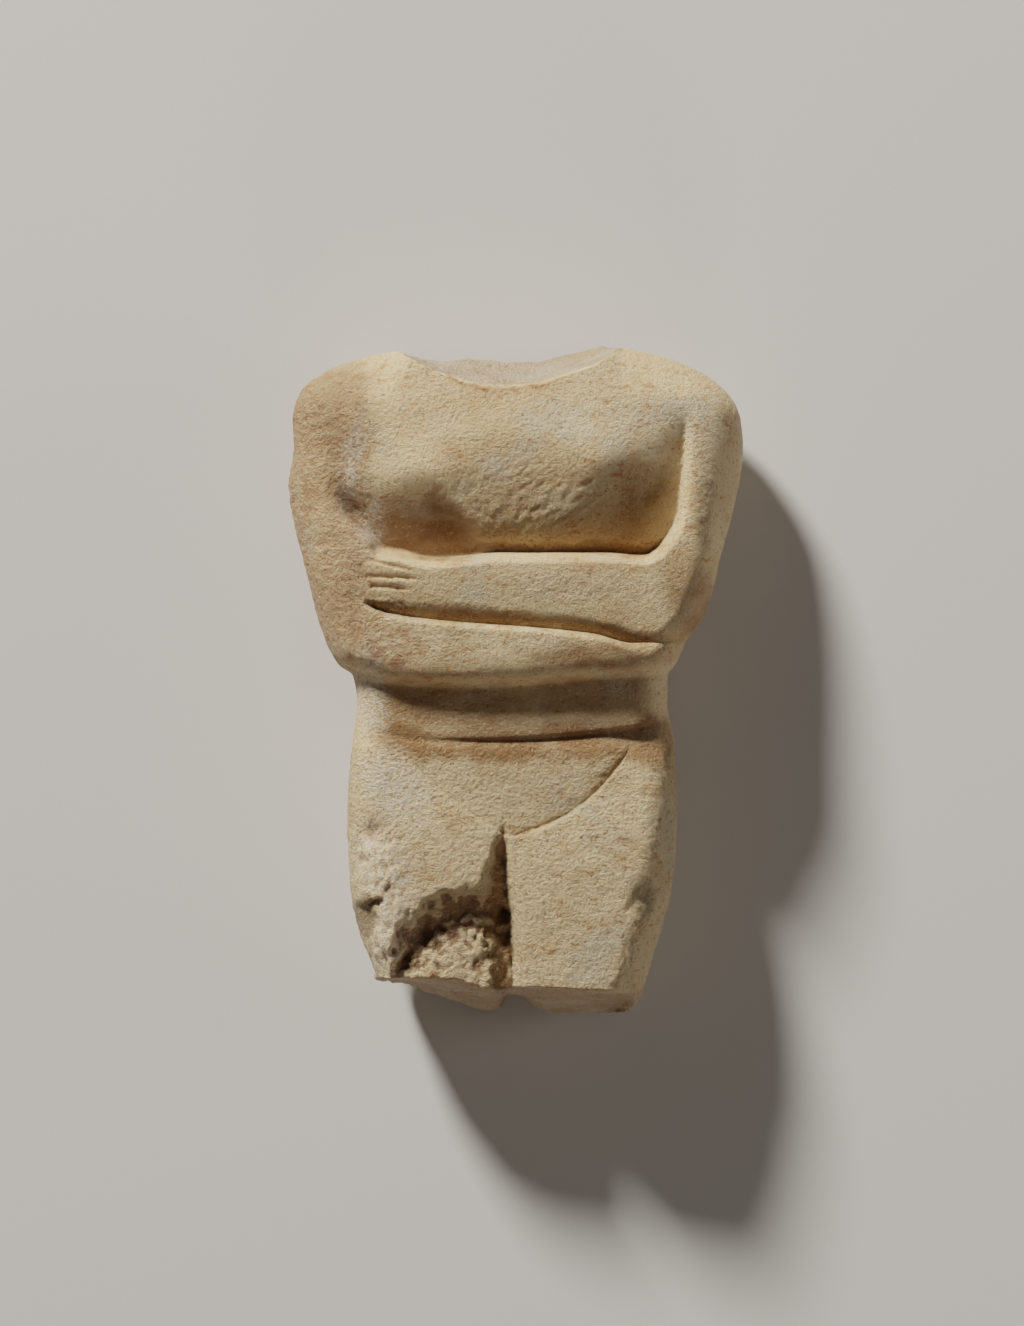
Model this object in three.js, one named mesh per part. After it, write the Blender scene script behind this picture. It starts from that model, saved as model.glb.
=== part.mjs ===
// A broken marble torso of a folded-arm figurine, carved in one piece and lying on its back.
// Millimetres. x runs across the shoulders, y towards the head, z up out of the chest.
// The back rests on z = 0. The neck and both legs are broken away, and nothing is restored.
import * as THREE from 'three';

// ---- driving sizes -------------------------------------------------------------------------
const SHOULDER_TOP = 77.7; // highest point, on the right shoulder
const THIGH_END = -77.7; // lowest point, on the right thigh
const SHOULDER_Y = 61; // where the sides turn over into the shoulders
const WAIST_Y = -5; // narrowest part of the trunk
const HIP_Y = -30; // widest part of the thighs
const SHOULDER_HALF = 52.8;
const WAIST_HALF = 36;
const CHEST_HIGH = 36.3; // front of the chest above the floor
const ARM_HIGH = 38.2; // front of the forearms
const BELLY_HIGH = 31.6;
const THIGH_HIGH = 35.6;
const RIM_SHOULDER = 15; // height of the widest line of the body, at the shoulders
const RIM_HIP = 18; // and at the hips
const NECK_BREAK_LOW = 5; // height of the neck break's back edge
const LEG_BREAK_LOW = 4; // height of the leg break's back edge
const CLEFT_DEEP = 4.6; // cleft between the legs
const FOLD_DEEP = 3.6; // crease between the forearms
const FOLD_SHALLOW = 1.2; // edge above it, where the upper forearm ends
const UNDERARM_ROUND = 7.5; // rounding under the lower forearm
const LEDGE = 1.6; // width of the step under the arms
const WAIST_STEP = 1.2; // width of the step under the belly
const BACK_HOLLOW = 2.6; // height of the back where it clears the floor

// ---- curves and profiles -------------------------------------------------------------------
const clamp = (t) => Math.min(1, Math.max(0, t));
const mix = (a, b, t) => a + (b - a) * t;
const bell = (t) => Math.exp(-t * t);
const step = (from, to, t) => {
  const s = clamp((t - from) / (to - from));
  return s * s * (3 - 2 * s);
};

// Profile of a rounded edge: 0 at the edge and 1 from the given distance inwards.
const rise = (distance, radius, power = 2) =>
  (1 - (1 - clamp(distance / radius)) ** power) ** (1 / power);

// The higher of two heights, with a fillet where they cross.
const blend = (a, b, fillet) => {
  const h = clamp(0.5 + (0.5 * (a - b)) / fillet);
  return b + (a - b) * h + fillet * h * (1 - h);
};
const lesser = (a, b, fillet) => -blend(-a, -b, fillet);

// A smooth curve through points [place, value] that never overshoots them.
function through(...points) {
  const gap = (i) => points[i + 1][0] - points[i][0];
  const slope = (i) => (points[i + 1][1] - points[i][1]) / gap(i);
  const last = points.length - 1;
  const turn = points.map((point, i) => {
    if (i === 0) return slope(0);
    if (i === last) return slope(last - 1);
    if (slope(i - 1) * slope(i) <= 0) return 0;
    const near = 2 * gap(i) + gap(i - 1);
    const far = gap(i) + 2 * gap(i - 1);
    return (near + far) / (near / slope(i - 1) + far / slope(i));
  });
  return (place) => {
    const t = Math.min(points[last][0], Math.max(points[0][0], place));
    let i = 0;
    while (i < last - 1 && t > points[i + 1][0]) i += 1;
    const s = (t - points[i][0]) / gap(i);
    const fall = points[i + 1][1] - points[i][1];
    const a = turn[i] * gap(i);
    const b = turn[i + 1] * gap(i);
    return points[i][1] + s * (a + s * (3 * fall - 2 * a - b + s * (a + b - 2 * fall)));
  };
}

// ---- outline seen from the front -----------------------------------------------------------
const leftEdge = through(
  [THIGH_END, -30.5], [-68, -32.5], [-58, -36.4], [-46, -38.6], [HIP_Y, -39.1], [-12, -37.6],
  [WAIST_Y, -WAIST_HALF - 0.8], [1.2, -37.8], [3.6, -41], [10, -44.4], [24, -48.4],
  [46, -SHOULDER_HALF], [54, -51.6], [SHOULDER_Y, -51.9], [80, -51.4],
);
const rightEdge = through(
  [THIGH_END, 25.3], [-76, 27], [-73, 28.8], [-62, 32.4], [-46, 36.4], [HIP_Y, 37.4],
  [-14, 36.6], [WAIST_Y, WAIST_HALF - 0.9], [1, 35.2], [4, 37.2], [10.4, 40.2], [13, 42.6],
  [28, 47.4], [55, SHOULDER_HALF], [SHOULDER_Y, 52.2], [80, 51.8],
);
const topEdge = through(
  [-51.9, SHOULDER_Y], [-50.6, 65.8], [-47.3, 69.8], [-40, 73.6], [-28, 76.2], [-18, 74.7],
  [-10, 75.3], [2, 74.5], [11, 75.9], [20, SHOULDER_TOP], [32, 75.8], [42, 72], [48, 67.9],
  [51, 64], [52.2, SHOULDER_Y],
);
const bottomEdge = through(
  [-33, -68.8], [-24, -71.6], [-15, -74.8], [-6, -77], [-3.6, -76.2], [-1.6, -73.6],
  [0.8, -73.8], [4.5, -76.6], [16, THIGH_END], [26, -76.9], [31, -75],
);

// ---- lines of the carving and of the breaks, seen from the front ---------------------------
const neckBreak = through(
  [-34, 81], [-29, 77.3], [-24, 74.2], [-18, 71], [-11, 68.7], [-4, 67.7], [4, 68.3],
  [10, 69.9], [17.5, 72.6], [22, 75.2], [26, 78.2], [30, 81],
);
const legBreak = through([-36, -67], [-30, -68], [-15, -68.4], [-4, -71], [3, -70.3], [26, -71.3]);
const forearmTop = through(
  [-40, 31.5], [-34, 30.8], [-27, 29.9], [-19, 28.1], [-3, 29.2], [20, 29.2], [29, 28.7], [37, 31.5],
);
const armFold = through(
  [-42, 18.6], [-36, 18.2], [-31.5, 16.3], [-23, 14.6], [8, 12], [18, 10.9], [27, 8.8], [33, 8.8],
  [44, 11.4],
);
const foldTop = through(
  [-42, 20], [-34, 18.8], [-20, 18.4], [-8, 17.8], [1, 16.7], [14, 15.4], [24, 13.2], [29, 12],
  [36, 11.5], [44, 12.4],
);
const armUnderside = through([-42, 2.4], [-26, 0.4], [-12, -0.2], [0, 0.1], [14, 1.4], [42, 3.2]);
const bellyEnd = through([-40, -9.4], [-30, -11.6], [-20, -13], [-8, -13], [20, -11.2], [40, -7.6]);
const leftArmpit = through(
  [25, -30.6], [31, -31.2], [35, -33.2], [39, -35.6], [46, -37.6], [58, -41], [66, -41.5],
);
const rightArmpit = through([25, 34.6], [31, 35.2], [40, 37.4], [60, 39.2], [70, 40]);
const leftGroin = through([-36, -9.5], [-28.5, -14.5], [-13.6, -28.1], [-3.2, -34.8], [6, -40]);
const rightGroin = through([-8, -37], [0, -35.4], [8.3, -32.4], [15, -28.3], [24, -19], [32, -4]);
const legCleft = through([THIGH_END, -0.4], [-63, -1.1], [-46, -2.6], [-39, -3.1], [-31.5, -2.5]);
const spallEdge = through(
  [-30, -62], [-27, -56.5], [-20, -48.8], [-14, -46.7], [-9, -45.8], [-5, -46.2],
);

// ---- heights along the body ----------------------------------------------------------------
const chestLine = through(
  [20, 28.2], [29, 28.3], [30.5, 29], [33, 31.6], [35.8, 33.3], [39, 34.5], [43, 35.5],
  [49, CHEST_HIGH], [55, 35.8], [62, 34], [70, 31.4], [80, 28],
);
const upperArmLine = through(
  [14, 37.2], [22, 36], [31, 34.2], [45, 31.9], [55, 30.6], [61, 29.6], [66, 28.4], [74, 25.6],
);
const thighLine = through(
  [THIGH_END, 34], [-44, THIGH_HIGH], [-36, 35], [-30, 33.9], [-25, 32.8], [-20, 31.9],
  [-16, 30.8], [-13, 29.4], [-11, 28.9], [-6, 28.7],
);
const cleftLeftWide = through([THIGH_END, 5], [-66, 6], [-46, 5.8], [-40, 3.4], [-31.5, 1]);
const cleftRightWide = through([THIGH_END, 2.9], [-46, 2.6], [-38, 2], [-33, 0.9]);
const spallDepth = through([0, 0], [2, 1.3], [7, 4], [9.5, 4.4], [14, 3.2], [20, 2.2], [28, 1.6]);

// Chest: a broad dome with two small breasts. A slanting plane cuts it off under each breast,
// which leaves a tongue between the two.
function chest(x, y) {
  const toMiddle = 1 - 0.55 * step(50, 66, y);
  const fall = (x < 0.5 ? 7 : 8.2) * (Math.abs(x - 0.5) / 38) ** 2.8 * toMiddle;
  const breasts = 1.5 * bell((x + 20) / 8) * bell((y - 49) / 6)
    + 1.7 * bell((x - 20) / 9) * bell((y - 51) / 7);
  const dome = chestLine(y) - fall + breasts;

  const below = 0.715 * (x - 13.6) - 0.7 * (y - 37);
  const along = 0.7 * (x - 13.6) + 0.715 * (y - 37);
  const right = 33.4 + 0.14 * along - 0.0066 * along ** 2
    - 0.57 * below + 0.004 * Math.max(below, 0) ** 2;
  const flank = Math.max(0.86 * (x + 20.5) + 0.5 * (y - 44), 0);
  const left = 34.9 - 0.6 * (41.4 - 0.158 * x - y)
    + 0.09 * flank ** 2 - 0.01 * Math.min(x + 16, 0) ** 2;
  return lesser(lesser(dome, right, 1.2), left, 1.2);
}

// Arms: the two upper arms and the folded forearms, which stand above the chest as one slab.
// The right arm rounds off at once, and the worn left one later.
function arms(x, y) {
  const forearms = ARM_HIGH - (x > 3 ? 4.2 : 2.6) * (Math.abs(x - 3) / 38) ** 3;
  const outside = x < 0 ? leftArmpit(y) - x : x - rightArmpit(y);
  const past = Math.max(outside - (x < 0 ? 4 : 2), 0);
  const rounding = (x < 0 ? 0.03 * past ** 2 : 0.1 * past + 0.035 * past ** 2) * step(15, 35, y);
  const inward = 0.5 * Math.max(-outside, 0) * step(40, 55, y);
  const worn = 1.6 * step(-30, -36, x) * step(33, 42, y);
  const upper = upperArmLine(y) - rounding - inward - worn;
  const isUpper = Math.max(step(16, 36, y) * step(28, 38, Math.abs(x)), step(40, 50, y));
  return mix(forearms, upper, isUpper);
}

// Depth of the fold between the forearms: the upper one curves down to a faint edge, then falls
// as a hollow face to the crease, below which the lower one rises in a rounded lip.
function fold(x, y) {
  const above = y - armFold(x);
  const wide = Math.max(foldTop(x) - armFold(x), 0.8);
  const ends = step(-36, -32, x) * mix(1, 0.4, step(24, 35, x));
  if (above > wide) return ends * FOLD_SHALLOW * clamp(1 - (above - wide) / 9) ** 1.8;
  if (above > 0) return ends * mix(FOLD_SHALLOW, FOLD_DEEP, (1 - above / wide) ** 1.4);
  return ends * FOLD_DEEP * (1 - rise(-above, mix(1.5, 4, step(22, 34, x)), 1.7));
}

// Chest framed by the arms with a rounded wall, wide and soft on the worn left side, and the
// lower forearm turned under along its lower edge.
function chestAndArms(x, y) {
  const low = chest(x, y);
  const high = arms(x, y);
  const fromLeft = lesser(x - leftArmpit(y), y - forearmTop(x), 2.5);
  const fromRight = lesser(rightArmpit(y) - x, y - forearmTop(x), 7);
  const inside = lesser(fromLeft, fromRight, 1);
  const width = mix(mix(3.2, 7, step(31, 41, y)), 2.7, step(-27, -14, x));
  const crisp = mix(0.7 * step(38, 31, y), 1, step(-29, -18, x));
  const wall = mix(step(0, width, -inside), rise(-inside, width, 1.9), crisp);
  const framed = low + Math.max(high - low, 0) * wall;
  const joined = mix(framed, blend(low, high, 3), step(57, 66, y));
  const turned = 3.8 * (1 - rise(y - armUnderside(x), UNDERARM_ROUND));
  return joined - fold(x, y) - turned;
}

const belly = (x, y) =>
  BELLY_HIGH - 2.4 * (Math.abs(x) / WAIST_HALF) ** 2.2 + 0.1 * Math.min(4, Math.max(-9, y + 4));

// Hips: two broad thighs, and between the groins an abdomen almost flush with them, which sinks
// towards each groin and meets the thigh in a small step.
function hips(x, y) {
  const offMiddle = Math.min(Math.abs(x + 19), Math.abs(x - 18.5));
  const thighs = thighLine(y) - 1.6 * (offMiddle / 16) ** 2 * step(-16, -42, y);
  const inside = lesser(y - leftGroin(x), y - rightGroin(x), 1);
  const within = Math.max(inside, 0);
  const toRight = step(-6, 4, x);
  const sunk = mix(0.35, 0.75, toRight) * Math.exp(-within / 1.6)
    + mix(0.4, 1, toRight) * Math.exp(-within / 5.5);
  const low = 0.35 + sunk * (1 - 0.6 * bell(Math.hypot(x + 1.5, y + 35) / 4));
  const hipHollow = 2.2 * bell((x - 30) / 6.5) * bell((y + 14.5) / 4.5);
  return thighs - low * step(-0.7, 0, inside) * step(-14, -21, y) - hipHollow;
}

// Depth of the cleft between the legs: a V with a wide left wall and a steep right one, deeper
// beside the spall.
function cleft(x, y) {
  const aside = x - legCleft(y);
  const wall = aside < 0
    ? clamp(1 + aside / cleftLeftWide(y)) ** 1.25
    : clamp(1 - aside / cleftRightWide(y));
  return CLEFT_DEEP * (step(-31.5, -42, y) + 0.35 * step(-46, -56, y)) * wall;
}

// Old damage to the front of the thighs.
function damage(x, y) {
  const spall = spallDepth(spallEdge(x) - y) * step(-29.5, -25.5, x) * step(-1, -4, x);
  const facet = 3 * step(-50.2, -51.8, y) * step(-30.5, -33, x) * step(-63, -55, y);
  const pits = 1.6 * bell((x + 33) / 3) * bell((y + 35) / 2.8)
    + 1.4 * bell((x + 36) / 1.8) * bell((y + 40.5) / 2.4);
  const dent = 1.6 * bell((x - 29.5) / 2.4) * bell((y + 50) / 3.6);
  return Math.max(spall, facet) + pits + dent;
}

// Height of the front before its edges are rounded over: each part steps down to the next.
function frontSurface(x, y) {
  const upper = chestAndArms(x, y);
  const low = hips(x, y);
  const ledge = clamp(1 + (y - armUnderside(x)) / LEDGE);
  const trunk = mix(belly(x, y), upper, ledge);
  const waist = clamp(1 + (y - bellyEnd(x)) / WAIST_STEP);
  return mix(low, trunk, waist) - cleft(x, y) - damage(x, y);
}

// Back: it touches the floor with four flats, at the shoulder blades and the buttocks.
const RESTS = [[-24, 47], [24, 47], [-17, -36], [16, -36]];
const REST_RADIUS = 12;

function backSurface(x, y) {
  const near = RESTS.map(([restX, restY]) => bell(Math.hypot(x - restX, y - restY) / REST_RADIUS));
  const rest = near.reduce((sum, share) => sum + share);
  const clear = BACK_HOLLOW * (1 - step(0, 1, 1.4 * rest));
  const spine = 1.3 * bell(x / 2.6) * step(-16, -8, y) * step(66, 54, y);
  const buttocks = 3.2 * bell(x / 2.8) * step(-18, -26, y);
  const armLines = 1.2 * bell((Math.abs(x) - 39) / 1.8) * step(12, 20, y) * step(60, 50, y);
  const waistLine = 0.9 * bell((y - bellyEnd(x)) / 1.8);
  return clear + spine + buttocks + armLines + waistLine;
}

// ---- distances to the outline --------------------------------------------------------------
const SPAN = 2;
const distance = (edge, place, gap) => {
  const slope = (edge(place + SPAN) - edge(place - SPAN)) / (2 * SPAN);
  return Math.max(gap / Math.hypot(1, slope), 1e-4);
};
const nearest = (...distances) => distances.reduce((sum, d) => sum + d ** -4, 0) ** -0.25;

function surroundings(x, y) {
  const neck = step(-31, -19, x) * step(25, 13, x);
  const neckRim = step(-30, -21, x) * step(25, 16, x) * step(60, 70, y);
  const left = distance(leftEdge, y, x - leftEdge(y));
  const right = distance(rightEdge, y, rightEdge(y) - x);
  const top = distance(topEdge, x, topEdge(x) - y);
  const end = Math.max(y - bottomEdge(x), 1e-4);
  const side = mix(RIM_HIP, RIM_SHOULDER, step(-10, 40, y));
  const withNeck = mix(side, NECK_BREAK_LOW, neckRim);
  const atEnd = step(12, 2, end) * step(0.3, 5, Math.min(left, right));
  const rim = mix(withNeck, LEG_BREAK_LOW, atEnd);
  return { neck, left, right, top, end, rim };
}

// A break runs down from its line on the front to the rim, slightly scooped.
const broken = (past, power) => 1 - clamp(past) ** power;

function frontHeight(x, y, around) {
  const { neck, left, right, top, rim } = around;
  const radius = mix(mix(9, 7.5, step(-10, -2, y)), 13, step(20, 62, y));
  const high = frontSurface(x, y) - rim;
  const rounded = rise(nearest(left, right, top + 16 * neck), radius, 2.2);
  const neckLine = neckBreak(x);
  const legLine = legBreak(x);
  const atNeck = broken((y - neckLine) / Math.max(topEdge(x) - neckLine, 0.05), 0.8);
  const atLegs = broken((legLine - y) / Math.max(legLine - bottomEdge(x), 0.05), 0.9);
  return rim + high * Math.min(rounded, atNeck, atLegs);
}

function backHeight(x, y, around) {
  const { neck, left, right, top, end, rim } = around;
  const sides = nearest(left, right, top + 30 * neck) / 14;
  const breaks = nearest(top + 30 * (1 - neck), end) / 3;
  return rim - (rim - backSurface(x, y)) * rise(nearest(sides, breaks), 1, 2.1);
}

// ---- the net of points over the outline ----------------------------------------------------
// Shares of a length for a number of steps, closer together where the density is higher.
function spread(count, density) {
  const fine = 400;
  const total = [0];
  for (let k = 0; k < fine; k += 1) total.push(total[k] + density((k + 0.5) / fine));
  const shares = [];
  for (let i = 0, k = 0; i <= count; i += 1) {
    const wanted = (total[fine] * i) / count;
    while (k < fine - 1 && total[k + 1] < wanted) k += 1;
    shares.push((k + (wanted - total[k]) / (total[k + 1] - total[k])) / fine);
  }
  return shares;
}

// Columns crowd together at the sides, at the inner edges of the arms and at the leg cleft.
const ARMPIT_SHARES = [0.125, 0.87];
const columns = spread(44, (t) => {
  const sides = bell(t / 0.06) + bell((1 - t) / 0.06);
  const armpits = bell((t - ARMPIT_SHARES[0]) / 0.03) + bell((t - ARMPIT_SHARES[1]) / 0.03);
  return 1 + 2.2 * sides + 1.3 * armpits + 1.2 * bell((t - 0.5) / 0.05);
});
const closest = (share) => columns.reduce((a, b) => (Math.abs(b - share) < Math.abs(a - share) ? b : a));
const [leftColumn, rightColumn] = ARMPIT_SHARES.map(closest);
const middleColumn = closest(0.5);

// Place across the body of a column, with three of the columns bent along a carved line.
function across(y, share) {
  const left = leftEdge(y);
  const width = rightEdge(y) - left;
  const alongArms = step(12, 26, y) * step(72, 60, y);
  const alongCleft = step(-20, -34, y);
  const bends = [
    [0, 0],
    [leftColumn, mix(leftColumn, (leftArmpit(y) - left) / width, alongArms)],
    [middleColumn, mix(middleColumn, (legCleft(y) - left) / width, alongCleft)],
    [rightColumn, mix(rightColumn, (rightArmpit(y) - left) / width, alongArms)],
    [1, 1],
  ];
  const after = Math.max(1, bends.findIndex(([from]) => from >= share));
  const [from, to] = [bends[after - 1], bends[after]];
  return left + width * mix(from[1], to[1], (share - from[0]) / (to[0] - from[0]));
}

// Rows follow the carved lines: each band is [its lower line, rows up to the next].
const groin = (x) => Math.min(Math.max(leftGroin(x), rightGroin(x)), bellyEnd(x) - 4);
const bands = [
  [bottomEdge, 4],
  [legBreak, 10],
  [groin, 1],
  [(x) => groin(x) + 1, 5],
  [(x) => bellyEnd(x) - WAIST_STEP, 1],
  [bellyEnd, 2],
  [(x) => armUnderside(x) - LEDGE, 1],
  [armUnderside, 4],
  [(x) => mix(armUnderside(x), armFold(x), 0.5), 2],
  [(x) => armFold(x) - 1.4, 1],
  [armFold, 3],
  [(x) => foldTop(x) + 0.6, 2],
  [(x) => forearmTop(x) - 3, 3],
  [forearmTop, 2],
  [(x) => forearmTop(x) + 5, 0],
];
const TOP_ROWS = 13;

// A point of a band, found by turns from its height and its share of the width.
function bandPoint(lower, upper, part, share) {
  let x = 0;
  let y = 0;
  for (let turn = 0; turn < 12; turn += 1) {
    y = mix(lower(x), upper(x), part);
    x = across(y, share);
  }
  return [x, y];
}

// Above the forearms the rows rise into the round of the shoulders.
function shoulderPoint(part, share) {
  const lastLine = bands[bands.length - 1][0];
  const [, from] = bandPoint(lastLine, lastLine, 0, share);
  const aside = 2 * share - 1;
  const topX = 0.15 + 52.05 * aside * (1.35 - 0.35 * aside * aside);
  const topY = topEdge(topX);
  const topShare = (topX - leftEdge(topY)) / (rightEdge(topY) - leftEdge(topY));
  const y = mix(from, topY, part);
  return [across(y, mix(share, clamp(topShare), part ** 3)), y];
}

function net() {
  const rows = [];
  bands.slice(0, -1).forEach(([lower, count], band) => {
    const upper = bands[band + 1][0];
    for (let k = 0; k < count; k += 1) rows.push((share) => bandPoint(lower, upper, k / count, share));
  });
  for (let k = 0; k <= TOP_ROWS; k += 1) {
    const part = 1 - (1 - k / TOP_ROWS) ** 1.5;
    rows.push((share) => shoulderPoint(part, share));
  }
  return rows.map((row) => columns.map(row));
}

// ---- the solid -----------------------------------------------------------------------------
// Two sheets over the same net, front and back, which share their outermost points.
function torsoGeometry() {
  const points = net();
  const lastRow = points.length - 1;
  const lastColumn = columns.length - 1;
  const places = [];
  const add = (x, y, z) => places.push(x, y, z) / 3 - 1;
  const front = [];
  const back = [];
  points.forEach((row, j) => {
    front.push([]);
    back.push([]);
    row.forEach(([x, y], i) => {
      const around = surroundings(x, y);
      const onRim = i === 0 || j === 0 || i === lastColumn || j === lastRow;
      const upper = onRim ? around.rim : frontHeight(x, y, around);
      front[j].push(add(x, y, upper));
      back[j].push(onRim ? front[j][i] : add(x, y, backHeight(x, y, around)));
    });
  });

  const triangles = [];
  for (let j = 0; j < lastRow; j += 1) {
    for (let i = 0; i < lastColumn; i += 1) {
      const risingDiagonal = (i < lastColumn / 2) === (j < lastRow / 2);
      [front, back].forEach((sheet, side) => {
        const [a, b, c, d] = [sheet[j][i], sheet[j][i + 1], sheet[j + 1][i + 1], sheet[j + 1][i]];
        const halves = risingDiagonal ? [[a, b, c], [a, c, d]] : [[a, b, d], [b, c, d]];
        halves.forEach((half) => triangles.push(...(side === 0 ? half : half.reverse())));
      });
    }
  }
  const geometry = new THREE.BufferGeometry();
  geometry.setAttribute('position', new THREE.Float32BufferAttribute(places, 3));
  geometry.setIndex(triangles);
  geometry.computeVertexNormals();
  return geometry;
}

const marble = new THREE.MeshStandardMaterial({ color: 0xc2ab88, roughness: 0.62, metalness: 0 });

const torso = new THREE.Mesh(torsoGeometry(), marble);
torso.name = 'torso';

const figurine = new THREE.Group();
figurine.add(torso);

export default figurine;
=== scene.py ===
"""Dresses the broken marble torso: one finely worked piece of stone, lying on its back on a pale
floor. Shapes are worked out in millimetres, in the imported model's frame, and made metres last."""

from functools import partial
from itertools import product
from math import cos, radians, sin

import bpy
import numpy as np
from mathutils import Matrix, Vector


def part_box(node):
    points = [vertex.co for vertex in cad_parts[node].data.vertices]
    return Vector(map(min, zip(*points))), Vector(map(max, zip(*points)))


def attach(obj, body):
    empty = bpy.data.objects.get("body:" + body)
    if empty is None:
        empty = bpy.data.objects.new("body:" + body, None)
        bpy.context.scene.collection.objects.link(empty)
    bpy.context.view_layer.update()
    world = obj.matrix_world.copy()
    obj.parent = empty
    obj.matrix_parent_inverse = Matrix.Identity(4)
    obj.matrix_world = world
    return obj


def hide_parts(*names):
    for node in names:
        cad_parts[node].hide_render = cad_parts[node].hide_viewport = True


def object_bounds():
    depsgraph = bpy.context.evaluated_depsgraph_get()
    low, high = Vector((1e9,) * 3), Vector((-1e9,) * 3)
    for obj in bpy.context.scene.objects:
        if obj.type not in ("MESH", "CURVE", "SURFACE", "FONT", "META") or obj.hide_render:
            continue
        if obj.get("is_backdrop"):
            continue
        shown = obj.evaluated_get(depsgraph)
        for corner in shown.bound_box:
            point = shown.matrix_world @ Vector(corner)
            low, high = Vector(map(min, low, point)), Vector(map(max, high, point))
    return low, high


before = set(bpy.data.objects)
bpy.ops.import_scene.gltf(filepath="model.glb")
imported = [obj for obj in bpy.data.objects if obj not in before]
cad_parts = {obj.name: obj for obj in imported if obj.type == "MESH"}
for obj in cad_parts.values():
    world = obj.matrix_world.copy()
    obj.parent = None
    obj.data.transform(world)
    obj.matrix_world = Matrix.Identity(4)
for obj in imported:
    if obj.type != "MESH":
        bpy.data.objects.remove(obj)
cad_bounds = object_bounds()
cad_low, cad_high = (np.array(corner) * 1000 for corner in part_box("torso"))

MM = 0.001

# ---- driving sizes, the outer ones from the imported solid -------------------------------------
SHOULDER_TOP = cad_high[1]
THIGH_END = cad_low[1]
SHOULDER_HALF = (cad_high[0] - cad_low[0]) / 2
SHOULDER_Y = 61.0
WAIST_Y = -5.0
HIP_Y = -30.0
WAIST_HALF = 36.0
CHEST_HIGH = 36.3
ARM_HIGH = cad_high[2]
BELLY_HIGH = 31.6
THIGH_HIGH = 35.6
RIM_SHOULDER = 15.0
RIM_HIP = 18.0
NECK_BREAK_LOW = 5.0
LEG_BREAK_LOW = 4.0
CLEFT_DEEP = 4.6
FOLD_DEEP = 3.6
FOLD_SHALLOW = 1.2
UNDERARM_ROUND = 7.5
LEDGE = 1.6
WAIST_STEP = 1.2
BACK_HOLLOW = 2.6
FINGER_DEEP = 0.75


# ---- curves and profiles ---------------------------------------------------------------------
def mix(a, b, t):
    """From a to b in a straight line as t goes from 0 to 1."""
    return a + (b - a) * t


def bell(t):
    """A bell curve, 1 in the middle."""
    return np.exp(-t * t)


def step(start, end, t):
    """0 before start and 1 after end, with a smooth S between."""
    s = np.clip((t - start) / (end - start), 0, 1)
    return s * s * (3 - 2 * s)


def rise(distance, radius, power=2.0):
    """Profile of a rounded edge: a quarter of a superellipse, 0 at the edge and 1 at the radius."""
    return (1 - (1 - np.clip(distance / radius, 0, 1)) ** power) ** (1 / power)


def blend(a, b, fillet):
    """The higher of two heights, with a parabolic fillet where they cross."""
    h = np.clip(0.5 + 0.5 * (a - b) / fillet, 0, 1)
    return b + (a - b) * h + fillet * h * (1 - h)


def lesser(a, b, fillet):
    """The lower of two heights, with the same fillet."""
    return -blend(-a, -b, fillet)


def through(*points):
    """A smooth curve through points (place, value): cubic pieces, each with the harmonic mean of
    its neighbours' slopes at its ends, so that the curve never overshoots a point."""
    t, v = np.array(points, float).T
    gap, slope = np.diff(t), np.diff(v) / np.diff(t)
    turn = np.concatenate([slope[:1], np.zeros(len(t) - 2), slope[-1:]])
    near, far = 2 * gap[1:] + gap[:-1], gap[1:] + 2 * gap[:-1]
    same_way = slope[:-1] * slope[1:] > 0
    before, after = np.where(same_way, slope[:-1], 1), np.where(same_way, slope[1:], 1)
    turn[1:-1] = np.where(same_way, (near + far) / (near / before + far / after), 0)

    def curve(place):
        place = np.clip(np.asarray(place, float), t[0], t[-1])
        i = np.clip(np.searchsorted(t, place, side="right") - 1, 0, len(gap) - 1)
        s = (place - t[i]) / gap[i]
        a, b, fall = turn[i] * gap[i], turn[i + 1] * gap[i], v[i + 1] - v[i]
        return v[i] + s * (a + s * (3 * fall - 2 * a - b + s * (a + b - 2 * fall)))

    return curve


# ---- outline seen from the front -------------------------------------------------------------
left_edge = through(
    (THIGH_END, -30.5), (-68, -32.5), (-58, -36.4), (-46, -38.6), (HIP_Y, -39.1), (-12, -37.6),
    (WAIST_Y, -WAIST_HALF - 0.8), (1.2, -37.8), (3.6, -41), (10, -44.4), (24, -48.4),
    (46, -SHOULDER_HALF), (54, -51.6), (SHOULDER_Y, -51.9), (80, -51.4),
)
right_edge = through(
    (THIGH_END, 25.3), (-76, 27), (-73, 28.8), (-62, 32.4), (-46, 36.4), (HIP_Y, 37.4),
    (-14, 36.6), (WAIST_Y, WAIST_HALF - 0.9), (1, 35.2), (4, 37.2), (10.4, 40.2), (13, 42.6),
    (28, 47.4), (55, SHOULDER_HALF), (SHOULDER_Y, 52.2), (80, 51.8),
)
top_edge = through(
    (-51.9, SHOULDER_Y), (-50.6, 65.8), (-47.3, 69.8), (-40, 73.6), (-28, 76.2), (-18, 74.7),
    (-10, 75.3), (2, 74.5), (11, 75.9), (20, SHOULDER_TOP), (32, 75.8), (42, 72), (48, 67.9),
    (51, 64), (52.2, SHOULDER_Y),
)
bottom_edge = through(
    (-33, -68.8), (-24, -71.6), (-15, -74.8), (-6, -77), (-3.6, -76.2), (-1.6, -73.6),
    (0.8, -73.8), (4.5, -76.6), (16, THIGH_END), (26, -76.9), (31, -75),
)

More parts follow.
